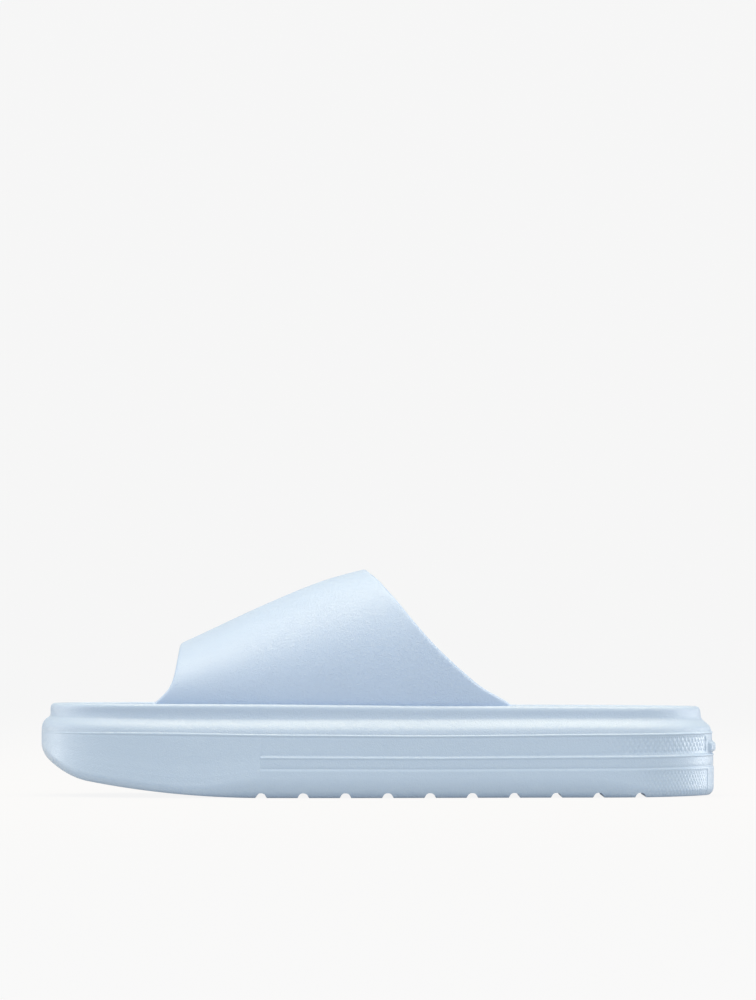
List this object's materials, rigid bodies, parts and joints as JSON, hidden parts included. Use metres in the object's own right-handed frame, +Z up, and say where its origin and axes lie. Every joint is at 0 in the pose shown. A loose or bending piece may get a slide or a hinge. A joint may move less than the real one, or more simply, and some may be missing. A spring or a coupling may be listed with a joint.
{
  "type": "slide sandal",
  "caption": "Left foam slide sandal: thick sprung sole with a stepped side band and straight tread grooves, raised rim round a contoured insole, one wide arched strap open at toe and heel",
  "frame": {"origin": "on the floor, under the middle of the shoe's box", "axes": "-X to the toe, +X to the heel; -Y to the outer side of the left foot, +Y to the inner side; +Z up from the floor"},
  "size_m": [0.2712, 0.1124, 0.0915],
  "materials": {
    "outsole_foam": "matte pale blue foam, fine grain, crosshatched at the heel",
    "midsole_foam": "matte pale blue foam, fine grain",
    "insole_foam": "matte pale blue foam, fine pebble grain",
    "strap_foam": "matte pale blue foam, fine leather-like grain"
  },
  "bodies": {
    "root": {"outsole": "outsole_foam", "midsole": "midsole_foam", "insole": "insole_foam", "strap": "strap_foam"}
  },
  "joints": []
}
